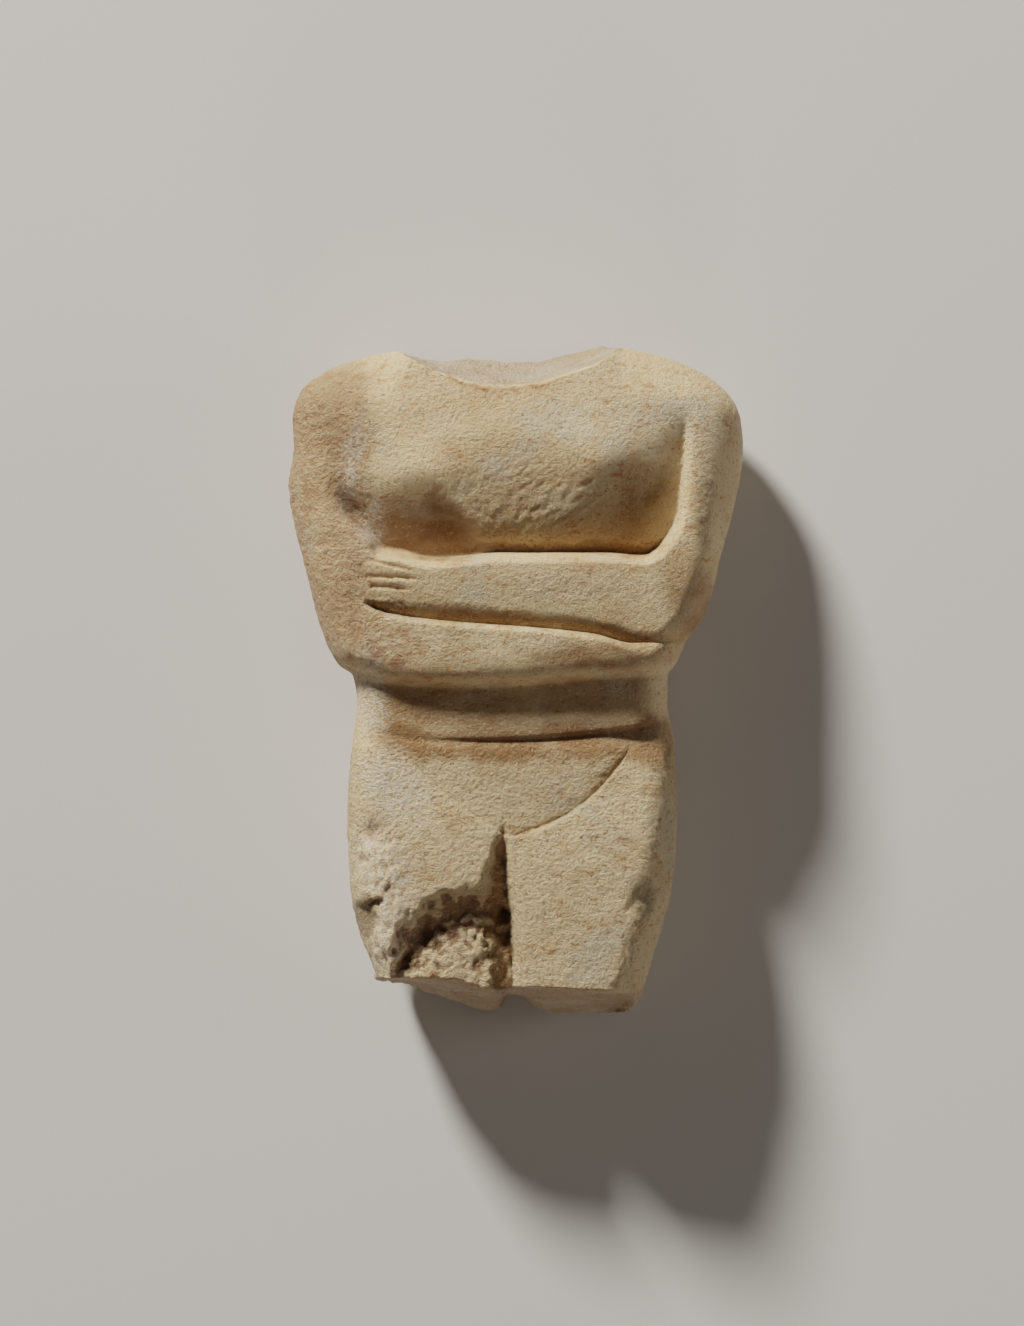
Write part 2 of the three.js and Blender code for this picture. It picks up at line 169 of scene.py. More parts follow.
# ---- lines of the carving and of the breaks, seen from the front -----------------------------
neck_break = through(
    (-34, 81), (-29, 77.3), (-24, 74.2), (-18, 71), (-11, 68.7), (-4, 67.7), (4, 68.3),
    (10, 69.9), (17.5, 72.6), (22, 75.2), (26, 78.2), (30, 81),
)
leg_break = through((-36, -67), (-30, -68), (-15, -68.4), (-4, -71), (3, -70.3), (26, -71.3))
forearm_top = through(
    (-40, 31.5), (-34, 30.8), (-27, 29.9), (-19, 28.1), (-3, 29.2), (20, 29.2), (29, 28.7),
    (37, 31.5),
)
arm_fold = through(
    (-42, 18.6), (-36, 18.2), (-31.5, 16.3), (-23, 14.6), (8, 12), (18, 10.9), (27, 8.8), (33, 8.8),
    (44, 11.4),
)
fold_top = through(
    (-42, 20), (-34, 18.8), (-20, 18.4), (-8, 17.8), (1, 16.7), (14, 15.4), (24, 13.2), (29, 12),
    (36, 11.5), (44, 12.4),
)
arm_underside = through((-42, 2.4), (-26, 0.4), (-12, -0.2), (0, 0.1), (14, 1.4), (42, 3.2))
belly_end = through((-40, -9.4), (-30, -11.6), (-20, -13), (-8, -13), (20, -11.2), (40, -7.6))
left_armpit = through(
    (25, -30.6), (31, -31.2), (35, -33.2), (39, -35.6), (46, -37.6), (58, -41), (66, -41.5)
)
right_armpit = through((25, 34.6), (31, 35.2), (40, 37.4), (60, 39.2), (70, 40))
left_groin = through((-36, -9.5), (-28.5, -14.5), (-13.6, -28.1), (-3.2, -34.8), (6, -40))
right_groin = through((-8, -37), (0, -35.4), (8.3, -32.4), (15, -28.3), (24, -19), (32, -4))
leg_cleft = through((THIGH_END, -0.4), (-63, -1.1), (-46, -2.6), (-39, -3.1), (-31.5, -2.5))
spall_edge = through(
    (-30, -62), (-27, -56.5), (-20, -48.8), (-14, -46.7), (-9, -45.8), (-5, -46.2)
)

# ---- heights along the body ------------------------------------------------------------------
chest_line = through(
    (20, 28.2), (29, 28.3), (30.5, 29), (33, 31.6), (35.8, 33.3), (39, 34.5), (43, 35.5),
    (49, CHEST_HIGH), (55, 35.8), (62, 34), (70, 31.4), (80, 28),
)
upper_arm_line = through(
    (14, 37.2), (22, 36), (31, 34.2), (45, 31.9), (55, 30.6), (61, 29.6), (66, 28.4), (74, 25.6)
)
thigh_line = through(
    (THIGH_END, 34), (-44, THIGH_HIGH), (-36, 35), (-30, 33.9), (-25, 32.8), (-20, 31.9),
    (-16, 30.8), (-13, 29.4), (-11, 28.9), (-6, 28.7),
)
cleft_left_wide = through((THIGH_END, 5), (-66, 6), (-46, 5.8), (-40, 3.4), (-31.5, 1))
cleft_right_wide = through((THIGH_END, 2.9), (-46, 2.6), (-38, 2), (-33, 0.9))
spall_depth = through((0, 0), (2, 1.3), (7, 4), (9.5, 4.4), (14, 3.2), (20, 2.2), (28, 1.6))

# Each cut between two fingers: its line across the hand, and where it starts and ends.
FINGER_CUTS = [
    (through((-34.2, 27.8), (-30, 26.5), (-24.4, 25.2)), -34.3, -24.6),
    (through((-34.2, 23.6), (-27, 23.4), (-19.5, 22.8)), -34.3, -22.0),
    (through((-34.2, 21.4), (-24.6, 20.8)), -33.6, -24.8),
]


def chest_dome(x, y):
    """A broad dome that falls away to the arms, with a bell for each breast."""
    fall = np.where(x < 0.5, 7, 8.2) * (np.abs(x - 0.5) / 38) ** 2.8 * (1 - 0.55 * step(50, 66, y))
    breasts = 1.5 * bell((x + 20) / 8) * bell((y - 49) / 6)
    breasts = breasts + 1.7 * bell((x - 20) / 9) * bell((y - 51) / 7)
    return chest_line(y) - fall + breasts


def chest(x, y):
    """The dome, cut off under each breast by a slanting plane, which leaves a tongue between."""
    below = 0.715 * (x - 13.6) - 0.7 * (y - 37)
    along = 0.7 * (x - 13.6) + 0.715 * (y - 37)
    right = 33.4 + 0.14 * along - 0.0066 * along**2 - 0.57 * below
    right = right + 0.004 * np.maximum(below, 0) ** 2
    flank = np.maximum(0.86 * (x + 20.5) + 0.5 * (y - 44), 0)
    left = 34.9 - 0.6 * (41.4 - 0.158 * x - y) + 0.09 * flank**2 - 0.01 * np.minimum(x + 16, 0) ** 2
    return lesser(lesser(chest_dome(x, y), right, 1.2), left, 1.2)


def arms(x, y):
    """One raised slab: the forearms' height, which a smooth S turns into the upper arms' line
    beside the chest. The right arm rounds off at once, the worn left one later."""
    forearms = ARM_HIGH - np.where(x > 3, 4.2, 2.6) * (np.abs(x - 3) / 38) ** 3
    outside = np.where(x < 0, left_armpit(y) - x, x - right_armpit(y))
    past = np.maximum(outside - np.where(x < 0, 4, 2), 0)
    rounding = np.where(x < 0, 0.03 * past**2, 0.1 * past + 0.035 * past**2) * step(15, 35, y)
    inward = 0.5 * np.maximum(-outside, 0) * step(40, 55, y)
    worn = 1.6 * step(-30, -36, x) * step(33, 42, y)
    upper = upper_arm_line(y) - rounding - inward - worn
    is_upper = np.maximum(step(16, 36, y) * step(28, 38, np.abs(x)), step(40, 50, y))
    return mix(forearms, upper, is_upper)


def fingers(x, y):
    """Depth of the cuts between the fingers: each falls gently from above over a millimetre and
    a half, and ends in a sharp lip below. The finger tips stand a little above the arm."""
    depth = np.zeros_like(x)
    for line, start, end in FINGER_CUTS:
        above = y - line(x)
        cut = np.where(above > 0, np.clip(1 - above / 1.7, 0, 1) ** 1.4, 1 - rise(-above, 0.5))
        ends = step(start - 0.5, start + 0.6, x) * step(end + 2.5, end - 3, x)
        depth = np.maximum(depth, cut * ends)
    tips = 0.45 * step(-33.8, -34.6, x) * step(-39, -35.5, x)
    return FINGER_DEEP * depth + tips * step(18.2, 19.4, y) * step(31, 29.5, y)


def fold(x, y):
    """Depth of the fold between the forearms: the upper one curves down to a faint edge, then
    falls as a hollow face to the crease, below which the lower one rises in a rounded lip."""
    above = y - arm_fold(x)
    wide = np.maximum(fold_top(x) - arm_fold(x), 0.8)
    curve = FOLD_SHALLOW * np.clip(1 - (above - wide) / 9, 0, 1) ** 1.8
    face = FOLD_SHALLOW + (FOLD_DEEP - FOLD_SHALLOW) * np.clip(1 - above / wide, 0, 1) ** 1.4
    lip = FOLD_DEEP * (1 - rise(-above, mix(1.5, 4, step(22, 34, x)), 1.7))
    ends = step(-36, -32, x) * mix(1, 0.4, step(24, 35, x))
    return ends * np.where(above > wide, curve, np.where(above > 0, face, lip))


def chest_and_arms(x, y):
    """The chest framed by the arms with a rounded wall, which is wide and soft on the worn left
    side, and the lower forearm turned under along its lower edge."""
    low, high = chest(x, y), arms(x, y)
    from_left = lesser(x - left_armpit(y), y - forearm_top(x), 2.5)
    from_right = lesser(right_armpit(y) - x, y - forearm_top(x), 7)
    inside = lesser(from_left, from_right, 1)
    width = mix(mix(3.2, 7, step(31, 41, y)), 2.7, step(-27, -14, x))
    crisp = mix(0.7 * step(38, 31, y), 1, step(-29, -18, x))
    wall = mix(step(0, width, -inside), rise(-inside, width, 1.9), crisp)
    framed = low + np.maximum(high - low, 0) * wall
    joined = mix(framed, blend(low, high, 3), step(57, 66, y))
    turned = 3.8 * (1 - rise(y - arm_underside(x), UNDERARM_ROUND))
    return joined - fold(x, y) - turned - fingers(x, y)


def belly(x, y):
    """A band across the waist, curved from side to side and leaning a little down."""
    return BELLY_HIGH - 2.4 * (np.abs(x) / WAIST_HALF) ** 2.2 + 0.1 * np.clip(y + 4, -9, 4)


def hips(x, y):
    """Two broad thighs, and between the groins an abdomen almost flush with them, which sinks
    towards each groin and meets the thigh in a small step."""
    off_middle = np.minimum(np.abs(x + 19), np.abs(x - 18.5))
    thighs = thigh_line(y) - 1.6 * (off_middle / 16) ** 2 * step(-16, -42, y)
    inside = lesser(y - left_groin(x), y - right_groin(x), 1)
    right = step(-6, 4, x)
    sunk = mix(0.35, 0.75, right) * np.exp(-np.maximum(inside, 0) / 1.6)
    sunk = sunk + mix(0.4, 1.0, right) * np.exp(-np.maximum(inside, 0) / 5.5)
    low = 0.35 + sunk * (1 - 0.6 * bell(np.hypot(x + 1.5, y + 35) / 4))
    hip_hollow = 2.2 * bell((x - 30) / 6.5) * bell((y + 14.5) / 4.5)
    return thighs - low * step(-0.7, 0, inside) * step(-14, -21, y) - hip_hollow


def cleft(x, y):
    """Depth of the cleft between the legs: a V with a wide left wall and a steep right one,
    deeper beside the spall."""
    aside = x - leg_cleft(y)
    reach = np.where(aside < 0, -aside / cleft_left_wide(y), aside / cleft_right_wide(y))
    wall = np.clip(1 - reach, 0, 1) ** np.where(aside < 0, 1.25, 1.0)
    return CLEFT_DEEP * (step(-31.5, -42, y) + 0.35 * step(-46, -56, y)) * wall


def damage(x, y):
    """Depth of the old damage to the thighs: a scooped spall, a smooth chip and some pits."""
    spall = spall_depth(spall_edge(x) - y) * step(-29.5, -25.5, x) * step(-1, -4, x)
    facet = 3 * step(-50.2, -51.8, y) * step(-30.5, -33, x) * step(-63, -55, y)
    pits = 1.6 * bell((x + 33) / 3) * bell((y + 35) / 2.8)
    pits = pits + 1.4 * bell((x + 36) / 1.8) * bell((y + 40.5) / 2.4)
    dent = 1.6 * bell((x - 29.5) / 2.4) * bell((y + 50) / 3.6)
    return np.maximum(spall, facet) + pits + dent


def uneven(x, y):
    """The places shifted by noise, so that the old damage gets a ragged outline."""
    place = ragged(np.stack([x, y, np.zeros_like(x)], -1), 4.2, 2.0, 87)
    return place[..., 0], place[..., 1]


def front_surface(x, y):
    """Height of the front before its edges are rounded over: each part steps down to the next."""
    ledge = np.clip(1 + (y - arm_underside(x)) / LEDGE, 0, 1)
    trunk = mix(belly(x, y), chest_and_arms(x, y), ledge)
    waist = np.clip(1 + (y - belly_end(x)) / WAIST_STEP, 0, 1)
    return mix(hips(x, y), trunk, waist) - cleft(x, y) - damage(*uneven(x, y))


RESTS = [(-24, 47), (24, 47), (-17, -36), (16, -36)]
REST_RADIUS = 12


def back_surface(x, y):
    """Height of the back: a shallow hollow with four flats on the floor, a spine, the parting of
    the buttocks, a line inside each arm and one round the waist."""
    rest = sum(bell(np.hypot(x - rest_x, y - rest_y) / REST_RADIUS) for rest_x, rest_y in RESTS)
    clear = BACK_HOLLOW * (1 - step(0, 1, 1.4 * rest))
    spine = 1.3 * bell(x / 2.6) * step(-16, -8, y) * step(66, 54, y)
    buttocks = 3.2 * bell(x / 2.8) * step(-18, -26, y)
    arm_lines = 1.2 * bell((np.abs(x) - 39) / 1.8) * step(12, 20, y) * step(60, 50, y)
    waist_line = 0.9 * bell((y - belly_end(x)) / 1.8)
    return clear + spine + buttocks + arm_lines + waist_line


# ---- distances to the outline ----------------------------------------------------------------
SPAN = 2.0


def distance(edge, place, gap):
    """Distance to an edge: the gap across, made shorter by the edge's slope."""
    slope = (edge(place + SPAN) - edge(place - SPAN)) / (2 * SPAN)
    return np.maximum(gap / np.hypot(1, slope), 1e-4)


def nearest(*distances):
    """A smooth least distance: the fourth powers of the nearnesses, added."""
    return sum(d ** -4.0 for d in distances) ** -0.25


def surroundings(x, y):
    """Distances to the outline's four sides, and the height of the body's widest line there."""
    left = distance(left_edge, y, x - left_edge(y))
    right = distance(right_edge, y, right_edge(y) - x)
    top = distance(top_edge, x, top_edge(x) - y)
    end = np.maximum(y - bottom_edge(x), 1e-4)
    neck = step(-31, -19, x) * step(25, 13, x)
    neck_rim = step(-30, -21, x) * step(25, 16, x) * step(60, 70, y)
    side = mix(RIM_HIP, RIM_SHOULDER, step(-10, 40, y))
    at_end = step(12, 2, end) * step(0.3, 5, np.minimum(left, right))
    rim = mix(mix(side, NECK_BREAK_LOW, neck_rim), LEG_BREAK_LOW, at_end)
    return neck, left, right, top, end, rim


def past_neck_break(x, y):
    """0 at the break's line on the front, 1 at its back edge."""
    line = neck_break(x)
    return np.clip((y - line) / np.maximum(top_edge(x) - line, 0.05), 0, 1)


def past_leg_break(x, y):
    """The same for the leg break."""
    line = leg_break(x)
    return np.clip((line - y) / np.maximum(line - bottom_edge(x), 0.05), 0, 1)


def front_height(x, y, around):
    """From the rim up to the front surface: the least of the rounded edge and the two breaks."""
    neck, left, right, top, _, rim = around
    radius = mix(mix(9, 7.5, step(-10, -2, y)), 13, step(20, 62, y))
    rounded = rise(nearest(left, right, top + 16 * neck), radius, 2.2)
    at_neck = 1 - past_neck_break(x, y) ** 0.8
    at_legs = 1 - past_leg_break(x, y) ** 0.9
    return rim + (front_surface(x, y) - rim) * np.minimum(rounded, np.minimum(at_neck, at_legs))


def back_height(x, y, around):
    """From the rim down to the back surface, rounded widely at the sides and little at breaks."""
    neck, left, right, top, end, rim = around
    sides = nearest(left, right, top + 30 * neck) / 14
    breaks = nearest(top + 30 * (1 - neck), end) / 3
    return rim - (rim - back_surface(x, y)) * rise(nearest(sides, breaks), 1, 2.1)


# ---- the net of points over the outline ------------------------------------------------------
COLUMNS = 234
ARMPIT_SHARES = (0.125, 0.87)


def spread(count, density):
    """Shares of a length for a number of steps: the density is added up, and its sum divided
    evenly."""
    fine = np.linspace(0, 1, 4001)
    total = np.concatenate([[0], np.cumsum(density((fine[1:] + fine[:-1]) / 2))])
    return np.interp(np.linspace(0, total[-1], count + 1), total, fine)


def column_density(t):
    """Columns crowd at the sides, the armpits and the leg cleft: an even share and five bells."""
    sides = bell(t / 0.06) + bell((1 - t) / 0.06)
    armpits = bell((t - ARMPIT_SHARES[0]) / 0.03) + bell((t - ARMPIT_SHARES[1]) / 0.03)
    return 1 + 1.6 * sides + 0.5 * armpits + 0.5 * bell((t - 0.5) / 0.05)


columns = spread(COLUMNS, column_density)
left_column, right_column = (columns[np.argmin(np.abs(columns - s))] for s in ARMPIT_SHARES)
middle_column = columns[np.argmin(np.abs(columns - 0.5))]


def across(y, share):
    """Place across the body for a share of its width. Three columns are bent along the armpits
    and the leg cleft, and those between share out the rest evenly."""
    left = left_edge(y)
    width = right_edge(y) - left
    along_arms = step(12, 26, y) * step(72, 60, y)
    along_cleft = step(-20, -34, y)
    knots = (0.0, left_column, middle_column, right_column, 1.0)
    bends = (
        np.zeros_like(y),
        mix(left_column, (left_armpit(y) - left) / width, along_arms),
        mix(middle_column, (leg_cleft(y) - left) / width, along_cleft),
        mix(right_column, (right_armpit(y) - left) / width, along_arms),
        np.ones_like(y),
    )
    place = np.zeros_like(y + share)
    for start, end, bent_start, bent_end in zip(knots, knots[1:], bends, bends[1:]):
        part = (share - start) / (end - start)
        place = np.where(part >= 0, mix(bent_start, bent_end, part), place)
    return left + width * place


def groin(x):
    """The higher of the two groin lines, kept below the waist."""
    return np.minimum(np.maximum(left_groin(x), right_groin(x)), belly_end(x) - 4)


# Rows follow the carved lines: each band is (its lower line, rows up to the next).
BANDS = [
    (bottom_edge, 20),
    (leg_break, 78),
    (groin, 4),
    (lambda x: groin(x) + 1, 26),
    (lambda x: belly_end(x) - WAIST_STEP, 4),
    (belly_end, 18),
    (lambda x: arm_underside(x) - LEDGE, 5),
    (arm_underside, 14),
    (lambda x: mix(arm_underside(x), arm_fold(x), 0.5), 10),
    (lambda x: arm_fold(x) - 1.4, 5),
    (arm_fold, 12),
    (lambda x: fold_top(x) + 0.6, 26),
    (lambda x: forearm_top(x) - 3, 10),
    (forearm_top, 10),
    (lambda x: forearm_top(x) + 5, 0),
]
TOP_ROWS = 82


def band_points(lower, upper, part):
    """A row of points, found by turns from its height and its shares of the width."""
    x = np.zeros_like(columns)
    for _ in range(14):
        y = mix(lower(x), upper(x), part)
        x = across(y, columns)
    return x, y


def shoulder_points(part, start):
    """A row above the forearms: from the last band's line it rises into the shoulders' round,
    where the columns are shared out by a cubic that crowds them to the sides."""
    aside = 2 * columns - 1
    top_x = 0.15 + 52.05 * aside * (1.35 - 0.35 * aside * aside)
    top_y = top_edge(top_x)
    top_share = (top_x - left_edge(top_y)) / (right_edge(top_y) - left_edge(top_y))
    y = mix(start, top_y, part)
    return across(y, mix(columns, np.clip(top_share, 0, 1), part**3)), y


def net():
    """Points over the outline, as two arrays of rows by columns."""
    rows = []
    for (lower, count), (upper, _) in zip(BANDS, BANDS[1:]):
        rows += [band_points(lower, upper, k / count) for k in range(count)]
    last_line = BANDS[-1][0]
    _, start = band_points(last_line, last_line, 0)
    parts = 1 - (1 - np.linspace(0, 1, TOP_ROWS + 1)) ** 1.35
    rows += [shoulder_points(part, start) for part in parts]
    return np.array([x for x, _ in rows]), np.array([y for _, y in rows])


# ---- grain of the stone ----------------------------------------------------------------------
def scatter(cell, seed):
    """A number from 0 to 1 for each whole-number place: its bits are mixed by multiplying and
    shifting."""
    h = cell[..., 0] * 374761393 + cell[..., 1] * 668265263 + cell[..., 2] * 974634777
    h = h + seed * 1442695041
    h = ((h & 0xFFFFFFFF) ^ ((h & 0xFFFFFFFF) >> 13)) * 1274126177
    h = ((h & 0xFFFFFFFF) ^ ((h & 0xFFFFFFFF) >> 16)) * 362437
    return ((h >> 8) & 0xFFFF) / 65535.0


def noise(place, size, seed):
    """Smooth swells of that size, from about -1 to 1: a random slope at each corner of a lattice,
    and a quintic blend of the eight corners between."""
    q = place / size
    cell = np.floor(q).astype(np.int64)
    f = q - cell
    w = f * f * f * (f * (f * 6 - 15) + 10)
    total = 0
    for corner in product((0, 1), repeat=3):
        corner = np.array(corner)
        weight = np.prod(np.where(corner, w, 1 - w), axis=-1)
        slopes = np.stack([scatter(cell + corner, seed + 17 * k) for k in range(3)], -1) * 2 - 1
        total = total + weight * np.sum(slopes * (f - corner), axis=-1)
    return total * 1.5


def swells(place, size, seed, octaves=3, keep=0.55):
    """Octaves of noise, each half the size and a share of the height of the last."""
    return sum(noise(place, size / 2**k, seed + k) * keep**k for k in range(octaves))


def ragged(place, size, reach, seed):
    """The places shifted by noise, so that what is laid over them gets an uneven edge."""
    return place + reach * np.stack([noise(place, size, seed + 7 * k) for k in range(3)], -1)


def crystals(place, size, seed):
    """Height of strewn domes, one to a cell: 1 on a dome's top, less by the distance from it as
    a share of the cell, and below 0 in the gaps between."""
    q = place / size
    cell = np.floor(q).astype(np.int64)
    least = np.full(q.shape[:-1], 9.0)
    for offset in product((-1, 0, 1), repeat=3):
        home = cell + np.array(offset)
        point = home + np.stack([scatter(home, seed + 31 * k) for k in range(3)], -1)
        least = np.minimum(least, np.sum((q - point) ** 2, axis=-1))
    return 1 - 1.8 * np.sqrt(least)


def patch(place, x, y, wide, long, lean=0.0, blur=0.5):
    """1 inside a leaning ellipse seen from the front and 0 outside, with a soft edge."""
    across_it, along_it = place[..., 0] - x, place[..., 1] - y
    far = np.hypot((across_it - lean * along_it) / wide, along_it / long)
    return step(1 + blur, 1 - blur, far)


def band(y, low, high, soft):
    """1 between two lines and 0 beyond them."""
    return step(-soft, soft, y - low) * step(-soft, soft, high - y)


# Patches of worn grain on the arms, chest and side: (x, y, half width, half length).
SCUFFS = [(14, 21.5, 17, 3), (-14, 9, 7, 4), (-30, 12, 8, 9), (43, 45, 2.5, 14), (6, 8, 9, 3)]


def stain_and_painted_shade(place):
    """How brown the stone is tinted, from 0 to 1: dirt that is largely painted shade. It is painted
    shade under each breast, at the chest's foot, below the waist, in the hip hollow, the fold and
    the cleft; dirt and painted shade on the elbow, under the lower forearm and across the belly;
    a light brown on the abdomen."""
    x, y = place[..., 0], place[..., 1]
    # Dirt and painted shade: brown across the belly band, which lies in the arms' shadow.
    belly_dirt_and_shade = band(y, belly_end(x) - 3.2, arm_underside(x) - 0.8, 0.9) * band(x, -32, 31, 3)
    # Painted shadow: a brown strip just below the waist, where the belly's edge casts its shadow.
    painted_shadow_below_waist = band(y, belly_end(x) - 5, belly_end(x) + 1, 2) * band(x, -33, 34, 3)
    # Painted shade: a brown strip at the chest's foot, just above the forearms.
    painted_shade_at_chest_foot = band(y, forearm_top(x) + 0.3, forearm_top(x) + 2.6, 0.6) * band(x, -31, 33, 2)
    # Painted shade: brown in the fold between the forearms.
    crease = band(y, arm_fold(x) - 0.2, fold_top(x) - 0.6, 0.9) * band(x, -33, 36, 2)
    # Painted shade: brown on the left wall of the cleft between the legs.
    painted_shade_in_cleft = step(0.1, 0.5, cleft(x, y) / CLEFT_DEEP) * step(0.6, -0.6, x - leg_cleft(y))
    # Painted shade: brown laid under each breast, where the chest is cut back below the dome.
    painted_shade_under_breasts = step(0.4, 2.6, chest_dome(x, y) - chest(x, y)) * band(x, -33, 37, 2)
    painted_shade_under_breasts = painted_shade_under_breasts * step(forearm_top(x) - 1, forearm_top(x), y)
    # Dirt and painted shade on the right elbow and where the lower forearm turns under; painted
    # shade in the right hip hollow; a light brown on the abdomen.
    elbow = patch(place, 39.5, 20, 5.5, 11, -0.2)
    forearm = patch(place, 20, 6, 14, 3.2)
    hip, abdomen = patch(place, 30, -15, 7, 5), patch(place, 3, -20, 21, 9)
    stain_and_shade = 0.55 * belly_dirt_and_shade + 0.7 * painted_shade_at_chest_foot + 0.6 * crease + 0.8 * painted_shade_in_cleft
    stain_and_shade = stain_and_shade + 0.9 * (elbow + painted_shadow_below_waist + hip) + 0.8 * forearm + 0.4 * abdomen
    return np.clip(stain_and_shade + 0.95 * painted_shade_under_breasts, 0, 1)


def kinds_of_surface(place, broken):
    """Where each kind of surface shows on the front, as shares from 0 to 1: first those that
    have a relief of their own, and then those that only differ in colour."""
    deep = damage(*uneven(place[..., 0], place[..., 1]))
    place = ragged(place, 4.0, 1.6, 71)
    x, y = place[..., 0], place[..., 1]
    in_spall = step(0.2, 1.2, deep) * step(-31, -29, x) * step(-3.5, -6, x) * step(-40, -44, y)
    pitted = np.maximum(patch(place, -30.5, -45, 6.5, 13, -0.25), patch(place, -30, -60, 3.6, 7))
    on_arm = step(-31, -37, x) * step(2, 10, y) * step(80, 66, y)
    facet = patch(place, -35, -54, 3.2, 4.4, 0.1, 0.2)
    legs = step(-13, -18, y) * (1 - pitted)
    scuffs = sum(patch(place, *spot) for spot in SCUFFS)
    lip = y - neck_break(x)
    return {
        "broken": broken,
        "spalled": in_spall * (1 - facet),
        "weathered": np.maximum(on_arm, 0.8 * patch(place, -36.6, 43, 2.8, 18, 0.16)),
        "pitted": pitted * (1 - facet),
        "tooled": patch(place, 1, 44, 17, 11),
        "grained": np.clip(np.maximum(legs, scuffs), 0, 1),
        # brown dirt, and painted shade under the breasts and in the hollows
        "soil_and_painted_shade": stain_and_painted_shade(place),
        "rust": bell((lip + 1.0) / 0.6) * band(x, -17, 8, 2) + 0.8 * patch(place, -28, 7.5, 7, 5),
        "salt": np.clip(
            patch(place, -38, 50, 2.4, 11, 0.16) + patch(place, -33, 36, 3, 6)
            + patch(place, -28, -25, 7, 8, -0.3) + patch(place, -33, -4, 4, 8), 0, 1
        ),
        # darker greenish brown on the chip facet and the dent: painted shade, with some staining
        "olive_and_painted_shade": np.maximum(facet, 0.7 * patch(place, 29.3, -50, 2.6, 4.2)),
    }


def relief(place, kinds):
    """Height of the surface above its smooth form, in millimetres: swells everywhere, grains on
    the worn skin, slanting tool marks on the chest, pits on the arm, and lumps on the breaks."""
    x, y, z = np.moveaxis(place, -1, 0)
    flat = np.stack([x, 1.1 * y, z], -1)
    slanted = np.stack([0.86 * x + 0.5 * y, 2.4 * (0.86 * y - 0.5 * x), z], -1)
    loose = ragged(place, 2.2, 1.1, 91)
    grains, lumps = crystals(flat, 1.75, 31), crystals(loose, 3.0, 35)
    pits = -0.42 * np.clip(grains - 0.42, 0, 1)
    worn = 0.09 * swells(place, 8.0, 1, 2) + 0.035 * noise(flat, 1.8, 3)
    grained = 0.2 * np.clip(grains - 0.1, -0.35, 0.5) + 0.14 * noise(loose, 2.4, 23) + 1.3 * pits
    tooled = 0.24 * swells(slanted, 2.8, 11, 2) + 0.10 * noise(flat, 1.3, 25)
    weathered = 0.22 * swells(flat, 2.6, 41, 2) + pits * 1.6
    pitted = 0.6 * np.clip(lumps, -0.5, 1) + 0.62 * swells(loose, 4.4, 51, 3) + pits
    spalled = 0.62 * np.clip(lumps, -0.4, 1) * step(-50, -56, y) + 0.42 * swells(loose, 3.0, 61, 3)
    broken = 0.55 * swells(loose, 6.0, 65, 2) + 0.22 * np.clip(grains, -0.5, 1)
    return (
        worn
        + grained * kinds["grained"] * (1 - np.maximum(kinds["spalled"], kinds["broken"]))
        + tooled * kinds["tooled"]
        + weathered * kinds["weathered"]
        + pitted * kinds["pitted"] * (1 - kinds["spalled"])
        + spalled * kinds["spalled"] * (1 - kinds["broken"])
        + broken * kinds["broken"]
    )


# ---- the stone -------------------------------------------------------------------------------
def sheet_normals(sheet):
    """The direction out of a sheet of points: the cross product of its two tangents."""
    along_row = np.gradient(sheet, axis=1)
    along_column = np.gradient(sheet, axis=0)
    out = np.cross(along_row, along_column)
    return out / np.maximum(np.linalg.norm(out, axis=-1, keepdims=True), 1e-9)


def blurred(values, reach):
    """The mean over a square of rows and columns, taken twice."""
    kernel = np.ones(2 * reach + 1) / (2 * reach + 1)
    padded = np.pad(values, 2 * reach, mode="edge")
    for axis in (0, 1, 0, 1):
        padded = np.apply_along_axis(np.convolve, axis, padded, kernel, "same")
    return padded[2 * reach : -2 * reach, 2 * reach : -2 * reach]


def sheet_faces(numbers):
    """Two triangles for each cell of a sheet of point numbers. The diagonal runs from the
    nearest corner of the sheet inwards, so that no triangle lies on the rim alone."""
    rows, width = numbers.shape
    a, b = numbers[:-1, :-1], numbers[:-1, 1:]
    d, c = numbers[1:, :-1], numbers[1:, 1:]
    j, i = np.mgrid[: rows - 1, : width - 1]
    rising = ((i < (width - 1) / 2) == (j < (rows - 1) / 2))[..., None]
    first = np.where(rising, np.stack([a, b, c], -1), np.stack([a, b, d], -1))
    second = np.where(rising, np.stack([a, c, d], -1), np.stack([b, c, d], -1))
    return np.concatenate([first.reshape(-1, 3), second.reshape(-1, 3)])


def meet_rim(faces, rim, points):
    """Cuts each coarse face that spans two steps of the rim in two, at the rim point between.
    The rim is the ring of point numbers all round, and every second one is in the faces."""
    place = np.full(points, -1)
    place[rim] = np.arange(len(rim))
    for _ in range(3):
        faces = np.roll(faces, 1, axis=1)
        p, q = place[faces[:, 0]], place[faces[:, 1]]
        gap = (q - p) % len(rim)
        spans = (p >= 0) & (q >= 0) & ((gap == 2) | (gap == len(rim) - 2))
        between = rim[(p + np.where(gap == 2, 1, -1)) % len(rim)]
        first, last = faces[spans].copy(), faces[spans].copy()
        first[:, 1] = last[:, 0] = between[spans]
        faces = np.concatenate([faces[~spans], first, last])
    return faces


